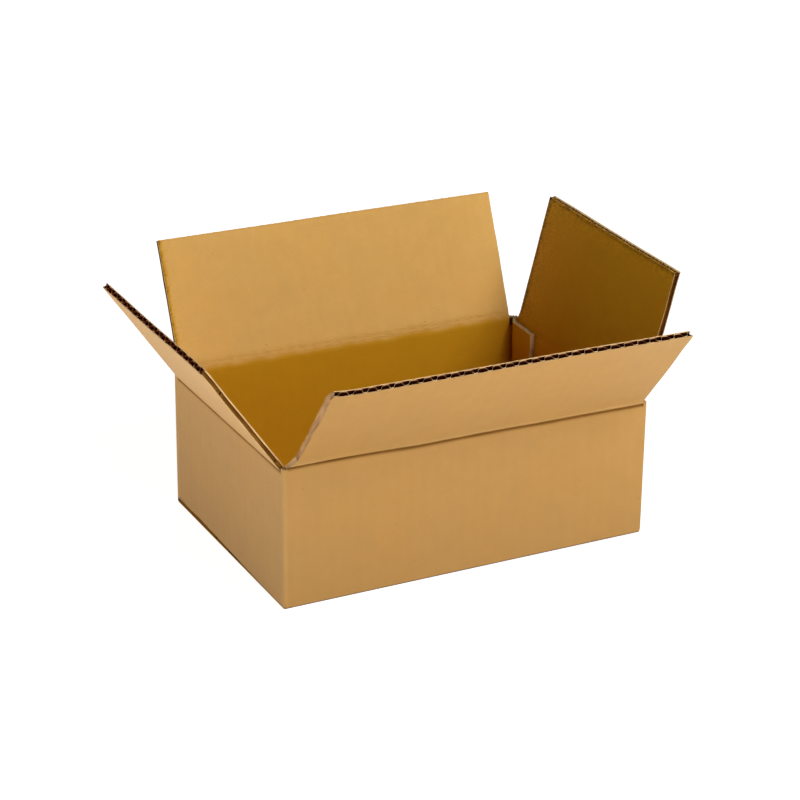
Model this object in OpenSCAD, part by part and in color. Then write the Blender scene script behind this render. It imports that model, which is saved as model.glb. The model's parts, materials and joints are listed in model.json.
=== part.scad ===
// Regular slotted carton in single-wall corrugated board, standing open.
// X runs along the length, Y from the front wall to the back wall and Z up.
// The origin is the middle of the underside. Each top flap folds at its own crease.

/* [Box] */
// Outside length, end wall to end wall
box_length = 180; // [170:5:320]
// Outside width, front wall to back wall
box_width = 124; // [90:2:150]
// Height of the long flaps' crease above the floor
crease_height = 67; // [45:1:160]

/* [Board] */
// Thickness of the corrugated board
board = 2.8; // [2.4:0.1:3.4]
// Spacing of the flutes, crest to crest
flute_pitch = 6.4; // [5.6:0.1:8]
// Thickness of each facing sheet
liner = 0.3; // [0.2:0.05:0.4]
// Thickness of the fluted sheet between the facings
medium = 0.25; // [0.2:0.05:0.35]

/* [Creases] */
// Length of board that a crease crushes, each side of its fold
crush = 2.6; // [2.4:0.1:3.2]
// Thickness of the crushed board at the fold
fold_board = 0.8; // [0.7:0.05:0.9]
// Depth of the long flaps' fold behind the outer face
long_fold_depth = 1.1; // [0.9:0.05:1.2]
// Depth of the short flaps' fold behind the outer face
short_fold_depth = 0.7; // [0.6:0.05:0.9]
// Running gap between a wall's crushed lip and the flap's rolled edge
fold_gap = 0.3; // [0.2:0.05:0.4]
// Outer radius of the upright corners
corner_radius = 1.6; // [1:0.1:2.2]
// Outer radius of the folds under the walls
bottom_radius = 1.4; // [0.8:0.1:2]
// Radius of the roll that a bottom fold pushes up inside
fold_roll = 0.7; // [0.4:0.1:1]

/* [Slots and seams] */
// Inset of each flap's side from the outer face of the next wall
slot_inset = 3.8; // [3.7:0.1:6]
// Gap left where the two long flaps meet
seam_gap = 0.6; // [0.4:0.1:2]
// Distance of the bottom seam behind the middle of the box
seam_shift = 2; // [1:0.5:4]
// Bare strip of the back wall's fold beside the lapped end wall
lap_gap = 1.2; // [0.8:0.1:2.4]

/* [Glue tab] */
// Width of the tab glued inside the right end wall
tab_width = 23; // [16:1:34]
// Slope of the tab's top and bottom ends, in degrees
tab_slope = 8; // [4:1:15]

/* [Open flaps] */
// Lean of the front flap out from upright, in degrees
front_lean_angle = 40.5; // [0:0.5:80]
// Lean of the back flap out from upright, in degrees
back_lean_angle = 23.5; // [0:0.5:80]
// Lean of the left flap out from upright, in degrees
left_lean_angle = 35; // [0:0.5:80]
// Lean of the right flap out from upright, in degrees
right_lean_angle = 15.5; // [0:0.5:80]

/* [Hidden] */
kraft = [0.77, 0.6, 0.38];
round_faces = 32;
over = 1;

// The long flaps close on top of the short ones, so their crease is higher.
stack_gap = 0.1;
crease_step = board - long_fold_depth + short_fold_depth + stack_gap;
short_crease_height = crease_height - crease_step;
slot_floor = crease_height - crease_step / 2;

// All four flaps have one length, and the long ones meet in the middle.
flap_length = box_width / 2 - long_fold_depth - seam_gap / 2;
long_flap_width = box_length - 2 * slot_inset;
short_flap_width = box_width - 2 * slot_inset;

// Walls keep their full thickness between these heights.
wall_base = board + bottom_radius;
wall_top = short_crease_height - crush;
corner_base = bottom_radius / 2;

// Crushed lips: thin beside the fold, full board one crush length away.
lip_start = fold_board / 2 + fold_gap;
lip_outer = 0.375 * fold_board;
lip_inner = fold_board - lip_outer;

// A sine flute cut square by the board's faces, as angles along one cell.
flute_height = (board - 2 * liner - medium) / 2;
cell_angles = [-80, -30, 30, 80];
cell_foot_angle = 132;

// Tab ends clear the folded flaps by this much.
tab_clearance = 1;
flap_droop = 3;

// Height of one side of the fluted sheet, at an angle along its wave.
function medium_face(angle) = board / 2 - flute_height * cos(angle) + medium / 2;

// One open flute cell on the far facing, centred on x = 0.
module flute_cell() {
    foot = cell_foot_angle / 360 * flute_pitch;
    arch = [for (a = cell_angles) [a / 360 * flute_pitch, medium_face(a)]];
    polygon(concat([[-foot, board - liner]], arch, [[foot, board - liner]]));
}

// Cut section of the board, width along X, outer face on y = 0.
module board_section(width) {
    cells = ceil(width / 2 / flute_pitch) + 1;
    difference() {
        translate([-width / 2, 0]) square([width, board]);
        for (k = [-cells : cells]) {
            translate([(k + 0.5) * flute_pitch, 0]) flute_cell();
            translate([k * flute_pitch, board]) mirror([0, 1]) flute_cell();
        }
    }
}

// Solid bar with a section drawn in (Y, Z), running along X.
module bar(width) {
    rotate([90, 0, 90]) translate([0, 0, -width / 2]) linear_extrude(width) children();
}

// Board crushed to a lip, rising from the lip to full thickness at y, z.
module lip_section(depth) {
    polygon([[-lip_outer, lip_start], [-depth, crush], [board - depth, crush], [lip_inner, lip_start]]);
}

// Flap standing on its fold line, with its outer face towards -Y.
module flap(width, depth) {
    bar(width) {
        circle(r = fold_board / 2, $fn = round_faces);
        translate([-lip_outer, 0]) square([fold_board, lip_start]);
        lip_section(depth);
    }
    translate([0, -depth, crush]) linear_extrude(flap_length - crush) board_section(width);
}

// Places children on a wall's outer face: 0 front, 1 right, 2 back, 3 left.
module on_wall(side) {
    reach = (side % 2 == 0 ? box_width : box_length) / 2;
    rotate([0, 0, 90 * side]) translate([0, -reach, 0]) children();
}

// Rectangle with round corners, centred.
module round_rect(length, width, radius) {
    square([length - 2 * radius, width], center = true);
    square([length, width - 2 * radius], center = true);
    for (x = [-1, 1], y = [-1, 1])
        translate([x * (length / 2 - radius), y * (width / 2 - radius)])
            circle(r = radius, $fn = round_faces);
}

// Plan of the four walls, open at the lap seam in the back right corner.
module wall_plan() {
    seam_x = box_length / 2 - board;
    difference() {
        round_rect(box_length, box_width, corner_radius);
        square([box_length - 2 * board, box_width - 2 * board], center = true);
        translate([seam_x, box_width / 2 - lap_gap]) square(board + over);
        translate([seam_x - corner_radius, box_width / 2 - corner_radius])
            difference() {
                square(corner_radius + over);
                circle(r = corner_radius, $fn = round_faces);
                translate([corner_radius, -over]) square([over, over + corner_radius - lap_gap]);
            }
    }
}

// The plan at the four corners only, where the slots leave the walls bare.
module corner_plan() {
    intersection() {
        wall_plan();
        for (x = [-1, 1], y = [-1, 1])
            translate([x * (box_length - slot_inset) / 2, y * (box_width - slot_inset) / 2])
                square(slot_inset, center = true);
    }
}

// Top of a wall between its slots, crushed to a lip under the fold.
module wall_lip(width, depth, fold_height) {
    bar(width) {
        translate([depth, fold_height]) mirror([0, 1]) lip_section(depth);
        translate([0, wall_top - over]) square([board, fold_height - crush - wall_top + over]);
    }
}

// Foot of a wall and its glued bottom flap, from the fold at floor height z.
module bottom_flap(width, reach, z) {
    stub = board + crush;
    bar(width) {
        translate([bottom_radius, z + bottom_radius])
            intersection() {
                circle(r = bottom_radius, $fn = round_faces);
                translate([-bottom_radius, -bottom_radius]) square(bottom_radius);
            }
        translate([0, z + bottom_radius]) square([board, wall_base - bottom_radius - z + over]);
        translate([bottom_radius, z]) square([stub - bottom_radius, board]);
        translate([board, z + board]) circle(r = fold_roll, $fn = round_faces);
    }
    translate([0, stub, z + board])
        rotate([-90, 0, 0]) linear_extrude(reach - stub) board_section(width);
}

// End tab of the back wall, glued inside the right end wall.
module glue_tab() {
    near = box_width / 2 - board;
    under_flap = near + board - slot_inset;
    rise = tab_width * tan(tab_slope);
    base = 2 * board + tab_clearance;
    folded = short_crease_height + short_fold_depth - board - 2 * board * tan(flap_droop);
    top = folded - fold_gap;
    difference() {
        translate([box_length / 2 - 2 * board, 0, 0])
            rotate([90, 0, 90]) linear_extrude(board)
                polygon([
                    [near, base], [near, slot_floor], [under_flap, top],
                    [near - tab_width, top - rise], [near - tab_width, base + rise]
                ]);
        translate([box_length / 2 - board, near - tab_width / 2, 0])
            rotate([0, 0, 90]) linear_extrude(crease_height)
                tab_cells();
    }
}

// Flute cells that stand in the tab, between its fold and its free edge.
module tab_cells() {
    count = floor((tab_width - 2 * crush) / flute_pitch);
    for (k = [0 : count - 1]) {
        x = (k - (count - 1) / 2) * flute_pitch;
        translate([x, 0]) flute_cell();
        translate([x - flute_pitch / 2, board]) mirror([0, 1]) flute_cell();
    }
}

module box_body() {
    color(kraft) {
        translate([0, 0, wall_base]) linear_extrude(wall_top - wall_base) wall_plan();
        translate([0, 0, corner_base]) linear_extrude(slot_floor - corner_base) corner_plan();
        for (side = [0, 2]) {
            on_wall(side) wall_lip(long_flap_width, long_fold_depth, crease_height);
            reach = (box_width - seam_gap) / 2 + (side == 0 ? seam_shift : -seam_shift);
            on_wall(side) bottom_flap(long_flap_width, reach, 0);
        }
        for (side = [1, 3]) {
            on_wall(side) wall_lip(short_flap_width, short_fold_depth, short_crease_height);
            on_wall(side) bottom_flap(short_flap_width, (box_width - seam_gap) / 2, board);
        }
        glue_tab();
    }
}

// Long flap of the front or back wall, leaning out from its fold.
module long_flap(side, lean) {
    on_wall(side) translate([0, long_fold_depth, crease_height])
        rotate([lean, 0, 0]) flap(long_flap_width, long_fold_depth);
}

// Short flap of an end wall, leaning out from its fold.
module short_flap(side, lean) {
    on_wall(side) translate([0, short_fold_depth, short_crease_height])
        rotate([lean, 0, 0]) flap(short_flap_width, short_fold_depth);
}

module front_flap() { color(kraft) long_flap(0, front_lean_angle); }
module right_flap() { color(kraft) short_flap(1, right_lean_angle); }
module back_flap() { color(kraft) long_flap(2, back_lean_angle); }
module left_flap() { color(kraft) short_flap(3, left_lean_angle); }

box_body();
front_flap();
back_flap();
left_flap();
right_flap();
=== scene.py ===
"""Looks of a small regular slotted carton in corrugated board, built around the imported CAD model."""

import json
import math

import bpy
import numpy as np
from mathutils import Matrix, Vector


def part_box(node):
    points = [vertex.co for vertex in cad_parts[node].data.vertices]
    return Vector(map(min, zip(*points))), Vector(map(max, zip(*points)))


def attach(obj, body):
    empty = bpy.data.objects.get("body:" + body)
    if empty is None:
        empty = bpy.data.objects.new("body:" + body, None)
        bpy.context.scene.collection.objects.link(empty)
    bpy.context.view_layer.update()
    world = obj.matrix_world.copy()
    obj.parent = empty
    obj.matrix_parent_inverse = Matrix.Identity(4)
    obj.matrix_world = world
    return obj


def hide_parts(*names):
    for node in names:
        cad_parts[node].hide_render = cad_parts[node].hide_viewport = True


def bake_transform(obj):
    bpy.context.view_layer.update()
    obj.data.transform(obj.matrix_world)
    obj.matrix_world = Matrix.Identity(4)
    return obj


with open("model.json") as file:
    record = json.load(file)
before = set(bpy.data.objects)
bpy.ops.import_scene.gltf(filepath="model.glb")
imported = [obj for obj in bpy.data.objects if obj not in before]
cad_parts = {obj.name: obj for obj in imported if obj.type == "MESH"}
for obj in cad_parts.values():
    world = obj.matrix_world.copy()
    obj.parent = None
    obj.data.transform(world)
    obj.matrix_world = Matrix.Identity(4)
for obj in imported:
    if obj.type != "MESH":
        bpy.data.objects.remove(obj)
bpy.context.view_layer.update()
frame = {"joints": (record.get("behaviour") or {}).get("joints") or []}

# The walls, in metres, from the frame. Sides count round the box from the front.
FRONT, RIGHT, BACK, LEFT = range(4)
BODY_LOW, BODY_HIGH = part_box("box_body")
BOX_LENGTH = BODY_HIGH.x - BODY_LOW.x
BOX_WIDTH = BODY_HIGH.y - BODY_LOW.y
SIDE_NAMES = {FRONT: "front", RIGHT: "right", BACK: "back", LEFT: "left"}
JOINTS = {joint["name"]: joint for joint in frame["joints"]}

# The board
BOARD = 0.0028
LINER = 0.00033
MEDIUM = 0.00034
FLUTE_PITCH = 0.0064
FLUTE_SWING = (BOARD - 2 * LINER - MEDIUM) / 2
FLUTE_STEEPNESS = 2.8
CELL_DEPTH = 0.013

# How far a crease crushes the board on both sides of its fold, and half the stretch that bends
CRUSH_REACH = 0.005
BEND_HALF = 0.0016

# The flaps: lean out from upright in degrees, and the length from the fold at both sides. A
# slotter cuts them a little out of square.
LEAN = {FRONT: 40.5, RIGHT: 15.5, BACK: 23.5, LEFT: 35.0}
FLAP_LENGTHS = {
    FRONT: (0.0608, 0.0600),
    RIGHT: (0.0622, 0.0646),
    BACK: (0.0610, 0.0604),
    LEFT: (0.0622, 0.0612),
}

# How much shorter the inner facing is at a crushed free edge
END_BEVEL = {RIGHT: 0.0010}

# Inset of each flap's two sides from the corner, for the outer and the inner facing, as pairs of
# height up the flap and inset in millimetres.
SIDE_INSETS = {
    (FRONT, 0): (
        ((4, 5.3), (26, 5.4), (44, 5.2), (54, 5.2), (62, 4.4)),
        ((4, 5.4), (26, 5.2), (44, 4.2), (62, 3.9)),
    ),
    (FRONT, 1): (((4, 2.2), (30, 2.3), (60, 3.2)), ((4, 3.0), (30, 3.1), (60, 4.0))),
    (RIGHT, 0): (((4, 3.3), (34, 3.4), (48, 3.7), (62, 4.0)), ((4, 3.4), (34, 3.5), (48, 3.7), (62, 4.0))),
    (RIGHT, 1): (((5, 7.2), (34, 6.6), (62, 5.6)), ((5, 7.4), (34, 6.7), (62, 5.6))),
    (BACK, 0): (((4, 5.0), (60, 5.0)), ((4, 4.8), (60, 4.8))),
    (BACK, 1): (((4, 2.2), (60, 2.1)), ((4, 2.0), (60, 1.9))),
    (LEFT, 0): (((4, 6.6), (62, 6.2)), ((4, 6.4), (62, 6.0))),
    (LEFT, 1): (((4, 3.3), (62, 3.2)), ((4, 3.4), (62, 3.3))),
}

# The front flap's left corner is rounded off: height up the flap where that begins and how far it
# goes in, by side, end and face
ROUNDED_CORNER = {(FRONT, 0, 0): (0.0590, 0.0012), (FRONT, 0, 1): (0.0555, 0.0034)}

# Inset of the slots where they end in the walls
SLOT_INSETS = {
    FRONT: (0.0021, 0.0018),
    RIGHT: (0.0024, 0.0048),
    BACK: (0.0046, 0.0020),
    LEFT: (0.0042, 0.0024),
}

# Tones run from 0 pale to 1 deep, darker still above 1 and paler below 0. Deep and darker tones paint shade
# in many places; paler tones stand for wear and painted light. This is the inner facing's painted shade on
# each
# flap: one liner, deep on the right flap, which lies in shade, and pale on the lit back flap.
FLAP_SHADE_TONE = {FRONT: 0.3, RIGHT: 1.09, BACK: 0.0, LEFT: 0.3}

# The front wall's pressed crease runs a little below its fold: places along the wall and drops
GROOVE_DROP = {FRONT: ((-0.080, -0.060, -0.030, 0.020, 0.080), (0.0003, 0.0005, 0.0013, 0.0014, 0.0019))}

# Pressed groove of the outer facing, with its raised lips, and trough of the inner facing
GROOVE_DEPTH, GROOVE_WIDTH, LIPS_WIDTH = 0.00065, 0.00060, 0.0013
TROUGH_DEPTH, TROUGH_WIDTH = 0.00060, 0.0020

# Tones of a flap's cut sides: the channel, then the outer and the inner liner's edge. They paint light
# and shade: darker on the shaded right and back flaps, paler on the lit left flap.
SIDE_SHADE_TONES = {FRONT: (1.0, 1.0, 1.0), BACK: (1.1, 1.2, 0.2), RIGHT: (1.35, 1.1, 1.0), LEFT: (0.7, 0.5, 0.35)}

# The body: radii of its corners outside and inside, of the lap's fold and of the bottom folds, then
# the height of the slots' floor, and the bottom seam's distance from the middle and its gap
CORNER_RADIUS = 0.0009
INNER_RADIUS = 0.0004
LAP_RADIUS = 0.0015
BOTTOM_RADIUS = 0.0009
SLOT_FLOOR = 0.0660
SEAM_SHIFT = 0.0020
SEAM_GAP = 0.0006

# The glued lap: bare strip of the back fold beside its raw edge, the thickness it is pressed to, and
# the depth of the inside corner where the tab begins
LAP_GAP = 0.0012
LAP_BOARD = 0.0019
TAB_CORNER = LAP_BOARD + 0.0002

# The tab: its width, the height of its top at the free edge, at the bend and at the fold, the bend's
# distance from the fold, the depth of its face, and how far from the fold it swells to that
TAB_WIDTH = 0.0220
TAB_TOP = (0.0646, 0.0651, 0.0672)
TAB_BEND = 0.0045
TAB_FACE = 0.0052
TAB_SWELL = 0.0050

# The tab's lower end above the bottom flaps, at the fold, and how much higher at the free edge
TAB_FOOT = 0.0038
TAB_FOOT_RISE = 0.0030

# Mesh steps: on faces, on crushed rims, along cut edges, round corners and up the corners' height
GRID_STEP = 0.0020
RIM_STEP = 0.0008
EDGE_STEP = FLUTE_PITCH / 20
CORNER_STEP = 0.0008
LAP_STEP = 0.0010
HEIGHT_SHARE = 0.03

OUTER, INNER, CUT, FLUTE, CHANNEL = range(5)


def smooth_noise(x, seed, scale):
    """Smooth noise from -1 to 1 along x, with features about one scale long."""
    waves = np.random.default_rng(seed)
    total = np.zeros_like(np.asarray(x, float))
    for _ in range(6):
        length = scale * waves.uniform(0.7, 3.2)
        total = total + waves.uniform(0.4, 1) * np.sin(2 * math.pi * (x / length + waves.random()))
    return total / 3.2


def rough_noise(x, y, seed, scale_x, scale_y):
    """Smooth noise from -1 to 1 over a surface, made of waves in many directions."""
    waves = np.random.default_rng(seed)
    total = np.zeros(np.broadcast(x, y).shape)
    for _ in range(14):
        angle = waves.uniform(0, 2 * math.pi)
        stretch = waves.uniform(0.6, 1.8)
        phase = x / scale_x * math.cos(angle) + y / scale_y * math.sin(angle)
        total = total + np.sin(2 * math.pi * (stretch * phase + waves.random()))
    return total / 5.3


def steps(start, end, step):
    """Evenly spaced values from start to end, at most one step apart."""
    return np.linspace(start, end, max(2, int(math.ceil(abs(end - start) / step)) + 1))


def bell(x, width):
    return np.exp(-(x / width) ** 2)


def column(*values):
    return np.array(values)[:, None]


def resample(line, count):
    """Evenly spaced points along a line."""
    run = np.concatenate([[0], np.cumsum(np.linalg.norm(np.diff(line, axis=0), axis=1))])
    share = np.linspace(0, run[-1], count)
    return np.stack([np.interp(share, run, values) for values in line.T], -1)


def add_object(name, data):
    made = bpy.data.objects.new(name, data)
    bpy.context.scene.collection.objects.link(made)
    return made


class Piece:
    """Collects patches of quads, each with its own material, board coordinates and tone."""

    def __init__(self, name):
        self.name = name
        self.points = []
        self.coords = []
        self.tones = []
        self.faces = []
        self.slots = []
        self.count = 0

    def patch(self, points, coords, slot, flip=False, tone=0.0):
        rows, columns = points.shape[:2]
        index = np.arange(rows * columns).reshape(rows, columns) + self.count
        quads = np.stack([index[:-1, :-1], index[1:, :-1], index[1:, 1:], index[:-1, 1:]], -1)
        quads = quads.reshape(-1, 4)
        self.faces.append(quads[:, ::-1] if flip else quads)
        self.points.append(points.reshape(-1, 3))
        self.coords.append(np.broadcast_to(coords, (rows, columns, 2)).reshape(-1, 2))
        self.tones.append(np.broadcast_to(tone, (rows, columns)).reshape(-1))
        self.slots.append(np.full(len(quads), slot))
        self.count += rows * columns

    def cut_rows(self, points, coords, flip, tones=(0, 0.6, 0), channel=None):
        """Patches of a cut board side: both liners' edges and, between them, the channel."""
        slots = CUT, CHANNEL if channel is None else channel, CUT
        for rows, slot, tone in zip((slice(0, 2), slice(1, -1), slice(-2, None)), slots, tones):
            self.patch(points[rows], coords[rows], slot, flip, tone)

    def build(self):
        mesh = bpy.data.meshes.new(self.name)
        points = np.concatenate(self.points)
        faces = np.concatenate(self.faces)
        mesh.from_pydata(points.tolist(), [], faces.tolist())
        mesh.polygons.foreach_set("material_index", np.concatenate(self.slots).astype(np.int32))
        mesh.polygons.foreach_set("use_smooth", np.ones(len(faces), bool))
        layer = mesh.uv_layers.new(name="board")
        layer.data.foreach_set("uv", np.concatenate(self.coords)[faces.reshape(-1)].reshape(-1))
        tone = mesh.attributes.new("tone", "FLOAT", "POINT")
        tone.data.foreach_set("value", np.concatenate(self.tones).astype(np.float32))
        for material in MATERIALS:
            mesh.materials.append(material)
        mesh.update()
        piece = add_object(self.name, mesh)
        return piece


# Frames: a wall's own frame has u along the wall, y inwards from its outer face and z up.


def wall_length(side):
    return BOX_LENGTH if side in (FRONT, BACK) else BOX_WIDTH


def reach(side):
    return wall_length((side + 1) % 4) / 2


def crease(side):
    """Depth behind the outer face and height of a side's flap fold, from its joint."""
    x, y, z = JOINTS[SIDE_NAMES[side] + "_crease"]["pos_m"]
    return reach(side) - max(abs(x), abs(y)), z


def place(side, u, y, z):
    """Points of a wall's own frame in the row frame."""
    u, y, z = np.broadcast_arrays(u, y, z)
    turn = math.pi / 2 * side
    across = y - reach(side)
    return np.stack([
        u * math.cos(turn) - across * math.sin(turn),
        u * math.sin(turn) + across * math.cos(turn),
        z,
    ], -1)


def plan(side, u, y):
    return place(side, u, y, 0.0)[..., :2]


def place_flap(side, u, y, z):
    """Points of a flap's own frame, standing on its fold, in the row frame."""
    depth, height = crease(side)
    lean = math.radians(LEAN[side])
    sin, cos = math.sin(lean), math.cos(lean)
    return place(side, u, depth + y * cos - z * sin, height + y * sin + z * cos)


def blank_u(side, u):
    """Distance along the unfolded sheet, so that flutes and fibres run on round the box."""
    offset = {LEFT: -1, FRONT: 0, RIGHT: 1, BACK: 2}[side] * (BOX_LENGTH + BOX_WIDTH) / 2
    return offset + u


def coords(u, v):
    u, v = np.broadcast_arrays(u, v)
    return np.stack([u, v], -1)


def flute_height(along):
    """Depth of the fluted sheet's middle behind the outer face, along the blank."""
    swing = FLUTE_SWING * (1 + 0.04 * smooth_noise(along, 3, 0.03))
    slip = 0.0005 * smooth_noise(along, 4, 0.02)
    phase = 2 * math.pi * (along + slip) / FLUTE_PITCH
    wave = np.tanh(FLUTE_STEEPNESS * np.cos(phase + 0.3 * np.sin(phase))) / math.tanh(FLUTE_STEEPNESS)
    return BOARD / 2 - swing * wave


# Flaps


def side_inset(side, end, face, z):
    """Inset of a flap's side, end 0 or 1 and face 0 outer or 1 inner, at heights up the flap."""
    heights, insets = zip(*SIDE_INSETS[side, end][face])
    inset = np.interp(z * 1000, heights, insets) / 1000
    inset = inset + 0.00012 * smooth_noise(z, 100 + 10 * side + 3 * end + face, 0.012)
    if (side, end, face) in ROUNDED_CORNER:
        start, size = ROUNDED_CORNER[side, end, face]
        rounding = np.clip((z - start) / (FLAP_LENGTHS[side][end] - start), 0, 1)
        inset = inset + size * (1 - np.sqrt(1 - 0.98 * rounding ** 2))
    return inset


def from_corner(side, end, inset):
    """Place along a wall at an inset from its corner at end 0 or 1."""
    half = wall_length(side) / 2
    return inset - half if end == 0 else half - inset


def flap_edge(side, end, face, z):
    """A flap's side edge in its own u, at heights up the flap."""
    return from_corner(side, end, side_inset(side, end, face, z))


def slot_edge(side, end):
    return from_corner(side, end, SLOT_INSETS[side][end])


def flap_top(side, u, level=0.0):
    """Length of a flap from its fold, along its width and at a level in its board."""
    first, last = FLAP_LENGTHS[side]
    share = u / wall_length(side) + 0.5
    bevel = END_BEVEL.get(side, 0) * level / BOARD
    return first + (last - first) * share + 0.00010 * smooth_noise(u, 70 + side, 0.06) - bevel


def flap_bow(side, u, share):
    """Small waviness of a flap's sheet: it is no perfect plane."""
    half = wall_length(side) / 2
    bow = 0.00030 * smooth_noise(u + 3 * share * half, 20 + side, 0.09) * share
    if side == FRONT:
        corner = np.clip((-u - half + 0.018) / 0.014, 0, 1) * np.clip((share - 0.80) / 0.2, 0, 1)
        bow = bow + 0.0010 * corner ** 2
    return bow


def crushed_rim(side, from_side, from_top):
    """Darker tone with specks along one side and the top of a flap's inner facing."""
    speck = np.random.default_rng(151 + side).random(np.broadcast(from_side, from_top).shape) - 0.45
    if side == BACK:
        rim = 1.35 * bell(from_side, 0.0012) + 0.5 * bell(from_top, 0.0005)
        return np.maximum(rim + 0.9 * np.exp(-from_side / 0.005) * speck, 0)
    rim = 0.38 * bell(from_side - 0.0014, 0.0011) + 0.34 * bell(from_top - 0.0006, 0.0009)
    near = np.exp(-from_side / 0.008) + 0.8 * np.exp(-from_top / 0.004) + 0.04
    return rim + 0.7 * near * speck


def flap_face(piece, side, face):
    """One facing of a flap from its crease, finer where its rim is crushed."""
    depth, height = crease(side)
    rimmed = face == 1 and side in (RIGHT, BACK)
    step = RIM_STEP if rimmed else GRID_STEP
    rise = steps(0, 1, step / max(FLAP_LENGTHS[side]))[None, :]
    mix = steps(0, 1, step / wall_length(side))[:, None]
    u = wall_length(side) * (mix - 0.5)
    for _ in range(2):
        z = CRUSH_REACH + (flap_top(side, u, BOARD * face) - CRUSH_REACH) * rise
        low, high = flap_edge(side, 0, face, z), flap_edge(side, 1, face, z)
        u = low + (high - low) * mix
    y = BOARD * face - depth + flap_bow(side, u, rise)
    # Painted light and shade: the inner facing takes its flap's painted shade, the left flap's outer facing
    # is painted paler where light falls on it, and the front flap's outer facing is painted darker towards
    # its left end and paler towards its upper right end.
    tone = FLAP_SHADE_TONE[side] if face else -0.22 * (side == LEFT)
    if (side, face) == (FRONT, 0):
        along = 2 * u / wall_length(side)
        tone = 0.15 * np.clip(-along, 0, 1) - 0.16 * np.clip(along - 0.3, 0, 1) * rise
    if rimmed:
        tone = tone + crushed_rim(side, high - u, flap_top(side, u, BOARD) - z)
    points = place_flap(side, u, y, z)
    piece.patch(points, coords(blank_u(side, u), height + z), (OUTER, INNER)[face], bool(face), tone)


def free_edge(piece, side):
    """Cut end of a flap: two liners and the wave between them, over open cells."""
    depth, height = crease(side)
    tops = [np.array(length) for length in FLAP_LENGTHS[side]]
    ends = [[float(flap_edge(side, end, face, tops[end])) for face in (0, 1)] for end in (0, 1)]
    mix = steps(0, 1, EDGE_STEP / wall_length(side))[:, None]

    def line(level):
        low, high = (outer + (inner - outer) * (level / BOARD) for outer, inner in ends)
        return low + (high - low) * mix

    zero = np.zeros_like(mix)
    along = blank_u(side, line(BOARD / 2 + zero))
    rough = 0.00010 * smooth_noise(along, 11 + side, 0.0022)

    def strip(y_low, y_high, drop_low, drop_high, slot, flip=False, tone=0.0):
        level = np.concatenate([y_low + zero, y_high + zero], 1)
        u = line(level)
        drop = np.concatenate([drop_low + zero, drop_high + zero], 1)
        z = flap_top(side, u, level) - drop
        y = level - depth + flap_bow(side, u, (z - CRUSH_REACH) / (z + drop - CRUSH_REACH))
        piece.patch(place_flap(side, u, y, z), coords(along, height + z + y), slot, flip, tone)

    middle = flute_height(along)
    crushed = 1.0 if side == RIGHT else 0.0
    half = MEDIUM / 2 * (1 + 1.6 * crushed + 0.3 * smooth_noise(along, 9, 0.004))
    outer_liner = LINER * (1 + 2.0 * crushed + 0.2 * smooth_noise(along, 14, 0.006))
    inner_liner = BOARD - LINER * (1 + 0.3 * crushed + 0.2 * smooth_noise(along, 13, 0.006))
    near, far = (0.55, 0.0) if side in (FRONT, LEFT) else (0.0, 0.9)
    fringe = 0.00018 * np.clip(smooth_noise(along, 16 + side, 0.0020) + 0.2, 0, 1) * (1 - crushed)
    strip(0, 0, 0, -fringe, OUTER)
    strip(BOARD, BOARD, -fringe, 0, INNER, tone=FLAP_SHADE_TONE[side])
    strip(0, outer_liner, -fringe, rough, CUT, tone=near + 0.4 * smooth_noise(along, 92, 0.004))
    far_tone = far + 0.4 * crushed + 0.5 * smooth_noise(along, 93, 0.007)
    strip(inner_liner, BOARD, rough, -fringe, INNER if crushed else CUT, tone=far_tone)
    low = np.maximum(middle - half, outer_liner * 0.6)
    high = np.minimum(middle + half, (BOARD + inner_liner) / 2)
    wave_tone = 0.05 + crushed + 0.4 * smooth_noise(along, 90, 0.005)
    strip(low, high, rough + 0.0001, rough + 0.0001, CUT, tone=wave_tone)
    deep = CELL_DEPTH - 0.0115 * crushed
    # The cells' walls take the near-black flutes paper: painted shade in the cells
    cell = CHANNEL if crushed else FLUTE
    for wall, flip in ((outer_liner, False), (inner_liner, True), (low, True), (high, False)):
        strip(wall, wall, rough, deep, cell, flip)
    strip(outer_liner, inner_liner, deep, deep, cell)


def board_side(piece, side, end):
    """Cut side of a flap, along the flutes: two liner edges and the channel between them."""
    depth, height = crease(side)
    rise = steps(0, 1, 0.5 * GRID_STEP / max(FLAP_LENGTHS[side]))[None, :]
    z = CRUSH_REACH + (FLAP_LENGTHS[side][end] - CRUSH_REACH) * rise
    inward = 1 if end == 0 else -1
    u_outer = flap_edge(side, end, 0, z)
    u_inner = flap_edge(side, end, 1, z)
    pressed = (side, end) == (FRONT, 0)
    hollow = 0.00012 if pressed else 0.0011
    near, far = 0.00042, BOARD - (0.00035 if side == RIGHT else 0.00062)
    levels = column(0, near, near, 0.0011, 0.0017, far, far, BOARD)
    recess = column(0, 0, 0.25, 0.8, 1.0, 0.55, 0, 0) * hollow
    rough = 0.0002 * np.sin(math.pi * levels / BOARD) * smooth_noise(z, 33 + side, 0.006)
    rough = 0.00007 * smooth_noise(z, 31 + side, 0.004) + rough
    u = u_outer + (u_inner - u_outer) * levels / BOARD + inward * (recess + rough * (recess > 0))
    y = levels - depth + flap_bow(side, u, rise)
    points = place_flap(side, u, y, z - END_BEVEL.get(side, 0) * rise * levels / BOARD)
    grid = coords(blank_u(side, u) + y, height + z)
    # Painted light and shade, set by side
    tone, outer_tone, inner_tone = SIDE_SHADE_TONES[side]
    tones = (
        outer_tone + 0.25 * smooth_noise(z, 39, 0.01),
        tone + 0.3 * smooth_noise(z, 37 + side, 0.012),
        inner_tone + 0.25 * smooth_noise(z, 40, 0.01),
    )
    piece.cut_rows(points, grid, end == 1, tones, CUT if pressed else CHANNEL)


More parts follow.
